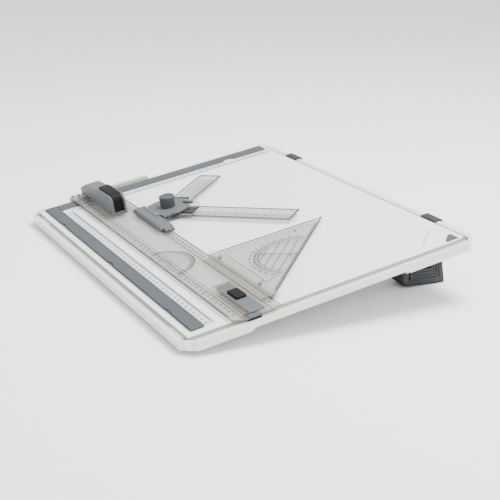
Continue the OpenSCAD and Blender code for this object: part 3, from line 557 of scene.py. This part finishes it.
def printSquare():
    s = squarePrint
    (x, y), side = s["corner"], s["side"]
    # the edge lines of the long and left sides, then the inner frame, from the corner: ends and width
    frameLines = [(side - 1.6, 0.7, 0.7, side - 1.6, 1.2), (s["inset"], 8.5, s["inset"], side - 2, 1.0),
                  (8, 12, 8, side - 24, 0.7), (15, 14, 118, 14, 0.8), (118, 14, 108, 33, 0.8)]
    parts = [line(x + x0, y + y0, x + x1, y + y1, width) for x0, y0, x1, y1, width in frameLines]
    # millimetres up the left side, and both ways along the long side from its middle
    parts.append(upright(scaleTicks(y + s["tickStart"], s["tickCount"], x + s["inset"], 1)))
    middle = np.array([x, y]) + side / 2 - 1.5
    i = np.arange(-s["halfScale"], s["halfScale"] + 1)
    up, inward = np.array([-1, 1]) / math.sqrt(2), np.array([-1, -1]) / math.sqrt(2)
    foot = middle + 0.4 + i[:, None] * up
    parts.append(np.hstack([foot, foot + tickLength(i)[:, None] * inward, np.full((len(i), 1), 0.5)]))
    # protractor: arcs about the middle of the long side, turned to face the right angle
    r, inner = s["radius"], s["radius"] - s["band"]
    parts += [arc(*middle, r, 140, 310, 70, 1.0), arc(*middle, inner, 142, 308, 70, 0.7),
              rays(*middle, inner, r, np.arange(140, 311, 2), 0.34),
              arc(*middle, s["hub"], 135, 315, 20, 0.6)]
    # chords every 10 mm, cut off by a circle of radius chord, and the pointer across them
    for depth in (10.0, 20.0, 30.0, 40.0):
        half = math.sqrt(s["chord"] ** 2 - depth ** 2) * up
        centre = middle + depth * inward
        parts.append(line(*(centre - half), *(centre + half), 0.8))
    parts.append(line(*middle, *(middle + s["pointer"] * inward), 1.7))
    for angle in range(150, 301, 10):
        a = math.radians(angle)
        at = middle + s["figures"] * np.array([math.cos(a), math.sin(a)])
        parts.append(number(angle - 135, *at, s["tall"], angle - 270))
    linesToMesh("square_print", atHeight(np.vstack(parts), s["top"]), "square", inkPrint)


printSquare()

# each lip's scale: where it starts, how many mm it counts, and the line that it stands on
lipPrint = dict(front=(-210, 432, -137.4), side=(-120, 288, -215), top=0.8, tall=2.4, hairline=0.4)


def printLips():
    # the front lip is read along X and the left lip along Y
    p = lipPrint
    start, count, edge = p["front"]
    parts = [scaleTicks(start, count, edge, -1),
             line(start - 3, edge, start + count + 3, edge, p["hairline"])]
    for i in range(0, count // 10 + 1):
        parts.append(number(i, start + 10 * i, edge - 7, p["tall"]))
    linesToMesh("front_lip_print", atHeight(np.vstack(parts), p["top"]), "front_clamp", inkBlue)
    start, count, edge = p["side"]
    parts = [upright(scaleTicks(start, count, edge - 0.3, -1)),
             line(edge - 0.4, start - 4, edge - 0.4, start + count + 2, p["hairline"])]
    for i in range(0, count // 10 + 1):
        parts.append(number(i, edge - 7.6, start + 10 * i, p["tall"], 90))
    linesToMesh("left_lip_print", atHeight(np.vstack(parts), p["top"]), "left_clamp", inkBlue)


printLips()

# marks: from, to, and the line that they stand on; the side's marks leave a gap about gapAt
clampPrint = dict(top=1.8, frontEdge=(-247, -165.4, 226, -165.4, 0.9), sideEdge=(-248, -146, -248, 170, 0.6),
                  frontMarks=(-214, 224, -149.2), sideMarks=(-130, 168, -229.6), step=5.0, short=2.0,
                  long=3.4, width=0.45, gapAt=110, gap=9)


def clampMarks(start, stop, edge):
    # a mark every step, and every second one longer
    c = clampPrint
    i = np.arange(start, stop, c["step"])
    reach = np.where(np.round(i - start) % (2 * c["step"]) == 0, c["long"], c["short"])
    return np.stack([i, np.full(len(i), edge), i, edge - reach, np.full(len(i), c["width"])], 1)


def printClamps():
    # a dark line along the outer edge of each clamp, and marks along the inner edge
    c = clampPrint
    front = np.vstack([line(*c["frontEdge"]), clampMarks(*c["frontMarks"])])
    marks = upright(clampMarks(*c["sideMarks"]))
    side = np.vstack([line(*c["sideEdge"]), marks[np.abs(marks[:, 1] - c["gapAt"]) > c["gap"]]])
    linesToMesh("front_clamp_print", atHeight(front, c["top"]), "front_clamp", inkPrint)
    linesToMesh("left_clamp_print", atHeight(side, c["top"]), "left_clamp", inkPrint)


printClamps()

windowRings = dict(at=(-80.0, -16.0), top=10.8, radii=(8.2, 5.6, 3.0), width=0.4, plate=28.5)


def printWindow():
    # rings about the window's middle, left out where the head plate cuts into the window
    w = windowRings
    segs = np.vstack([arc(*w["at"], r, 0, 360, 40, w["width"]) for r in w["radii"]])
    px, py = armPrint["pivot"]
    keep = np.hypot(segs[:, 0] - px, segs[:, 1] - py) > w["plate"]
    keep &= np.hypot(segs[:, 2] - px, segs[:, 3] - py) > w["plate"]
    linesToMesh("window_print", atHeight(segs[keep], w["top"]), "head_carriage", inkPrint)


printWindow()
print("scales printed")

# wire is half the wire's thickness in mm
coils = dict(left_button_spring=dict(turns=6, wire=0.28, button="left_button_press"),
             right_button_spring=dict(turns=2.5, wire=0.22, button="right_button_press"))
coilGrid = dict(perTurn=40, around=10, flat=0.75)  # flat is the part of a turn that lies level at each end


def coilSpring(name, turns, wire, button):
    # a small circle carried round a helix whose ends lie flat, worked out on a grid of turn by section
    a = math.radians(stand["tilt"])
    co = np.empty(len(nodes[name].data.vertices) * 3, np.float32)
    nodes[name].data.vertices.foreach_get("co", co)
    p = co.reshape(-1, 3) * 1000 - [stand["right"], stand["back"], stand["up"]]
    bx = p[:, 0]
    by = p[:, 1] * math.cos(a) + p[:, 2] * math.sin(a)
    bz = -p[:, 1] * math.sin(a) + p[:, 2] * math.cos(a)
    cx, cy = (bx.min() + bx.max()) / 2, (by.min() + by.max()) / 2
    radius = (bx.max() - bx.min()) / 2 - wire
    z0, z1 = bz.min() + wire, bz.max() - wire
    steps, around = int(coilGrid["perTurn"] * turns), coilGrid["around"]
    t = np.linspace(0, 1, steps)
    rise = np.clip((t * turns - coilGrid["flat"]) / (turns - 2 * coilGrid["flat"]), 0, 1)
    angle = 2 * np.pi * turns * t
    path = np.stack([cx + radius * np.cos(angle), cy + radius * np.sin(angle), z0 + (z1 - z0) * rise], 1)
    out = np.stack([np.cos(angle), np.sin(angle), 0 * t], 1)
    up = np.array([0, 0, 1.0])
    phi = np.linspace(0, 2 * np.pi, around, endpoint=False)[None, :, None]
    ring = path[:, None] + wire * (np.cos(phi) * out[:, None] + np.sin(phi) * up)
    verts = np.concatenate([ring.reshape(-1, 3), path[:1], path[-1:]])
    i, j = np.meshgrid(np.arange(steps - 1), np.arange(around), indexing="ij")
    k = (j + 1) % around
    row, after = i * around, (i + 1) * around
    quads = np.stack([row + j, row + k, after + k, after + j], -1).reshape(-1, 4)
    # the two ends are closed by fans about the ends of the path
    r = np.arange(around)
    turned = (r + 1) % around
    last = (steps - 1) * around
    startFan = np.stack([np.full(around, steps * around), turned, r], 1)
    endFan = np.stack([np.full(around, steps * around + 1), last + r, last + turned], 1)
    faces = np.concatenate([quads[:, [0, 1, 2]], quads[:, [0, 2, 3]], startFan, endFan])
    piece = meshPiece(name + "_coil", onBoard(verts), faces, "ruler", finish["steel"], True)
    bm = bmesh.new()
    bm.from_mesh(piece.data)
    bmesh.ops.recalc_face_normals(bm, faces=bm.faces)
    bm.to_mesh(piece.data)
    bm.free()
    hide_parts(name)
    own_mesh(piece)


for name, values in coils.items():
    coilSpring(name, **values)
print("coil springs wound")

ground = dict(half=6.0, colour=(0.95, 0.95, 0.95))
floorMesh = bpy.data.meshes.new("floor")
h = ground["half"]
floorMesh.from_pydata([(-h, -h, 0), (h, -h, 0), (h, h, 0), (-h, h, 0)], [], [(0, 1, 2, 3)])
floor = bpy.data.objects.new("floor", floorMesh)
bpy.context.scene.collection.objects.link(floor)
floorMesh.materials.append(plastic("pale floor", ground["colour"], ground["colour"], 0.8, bump=0.0))
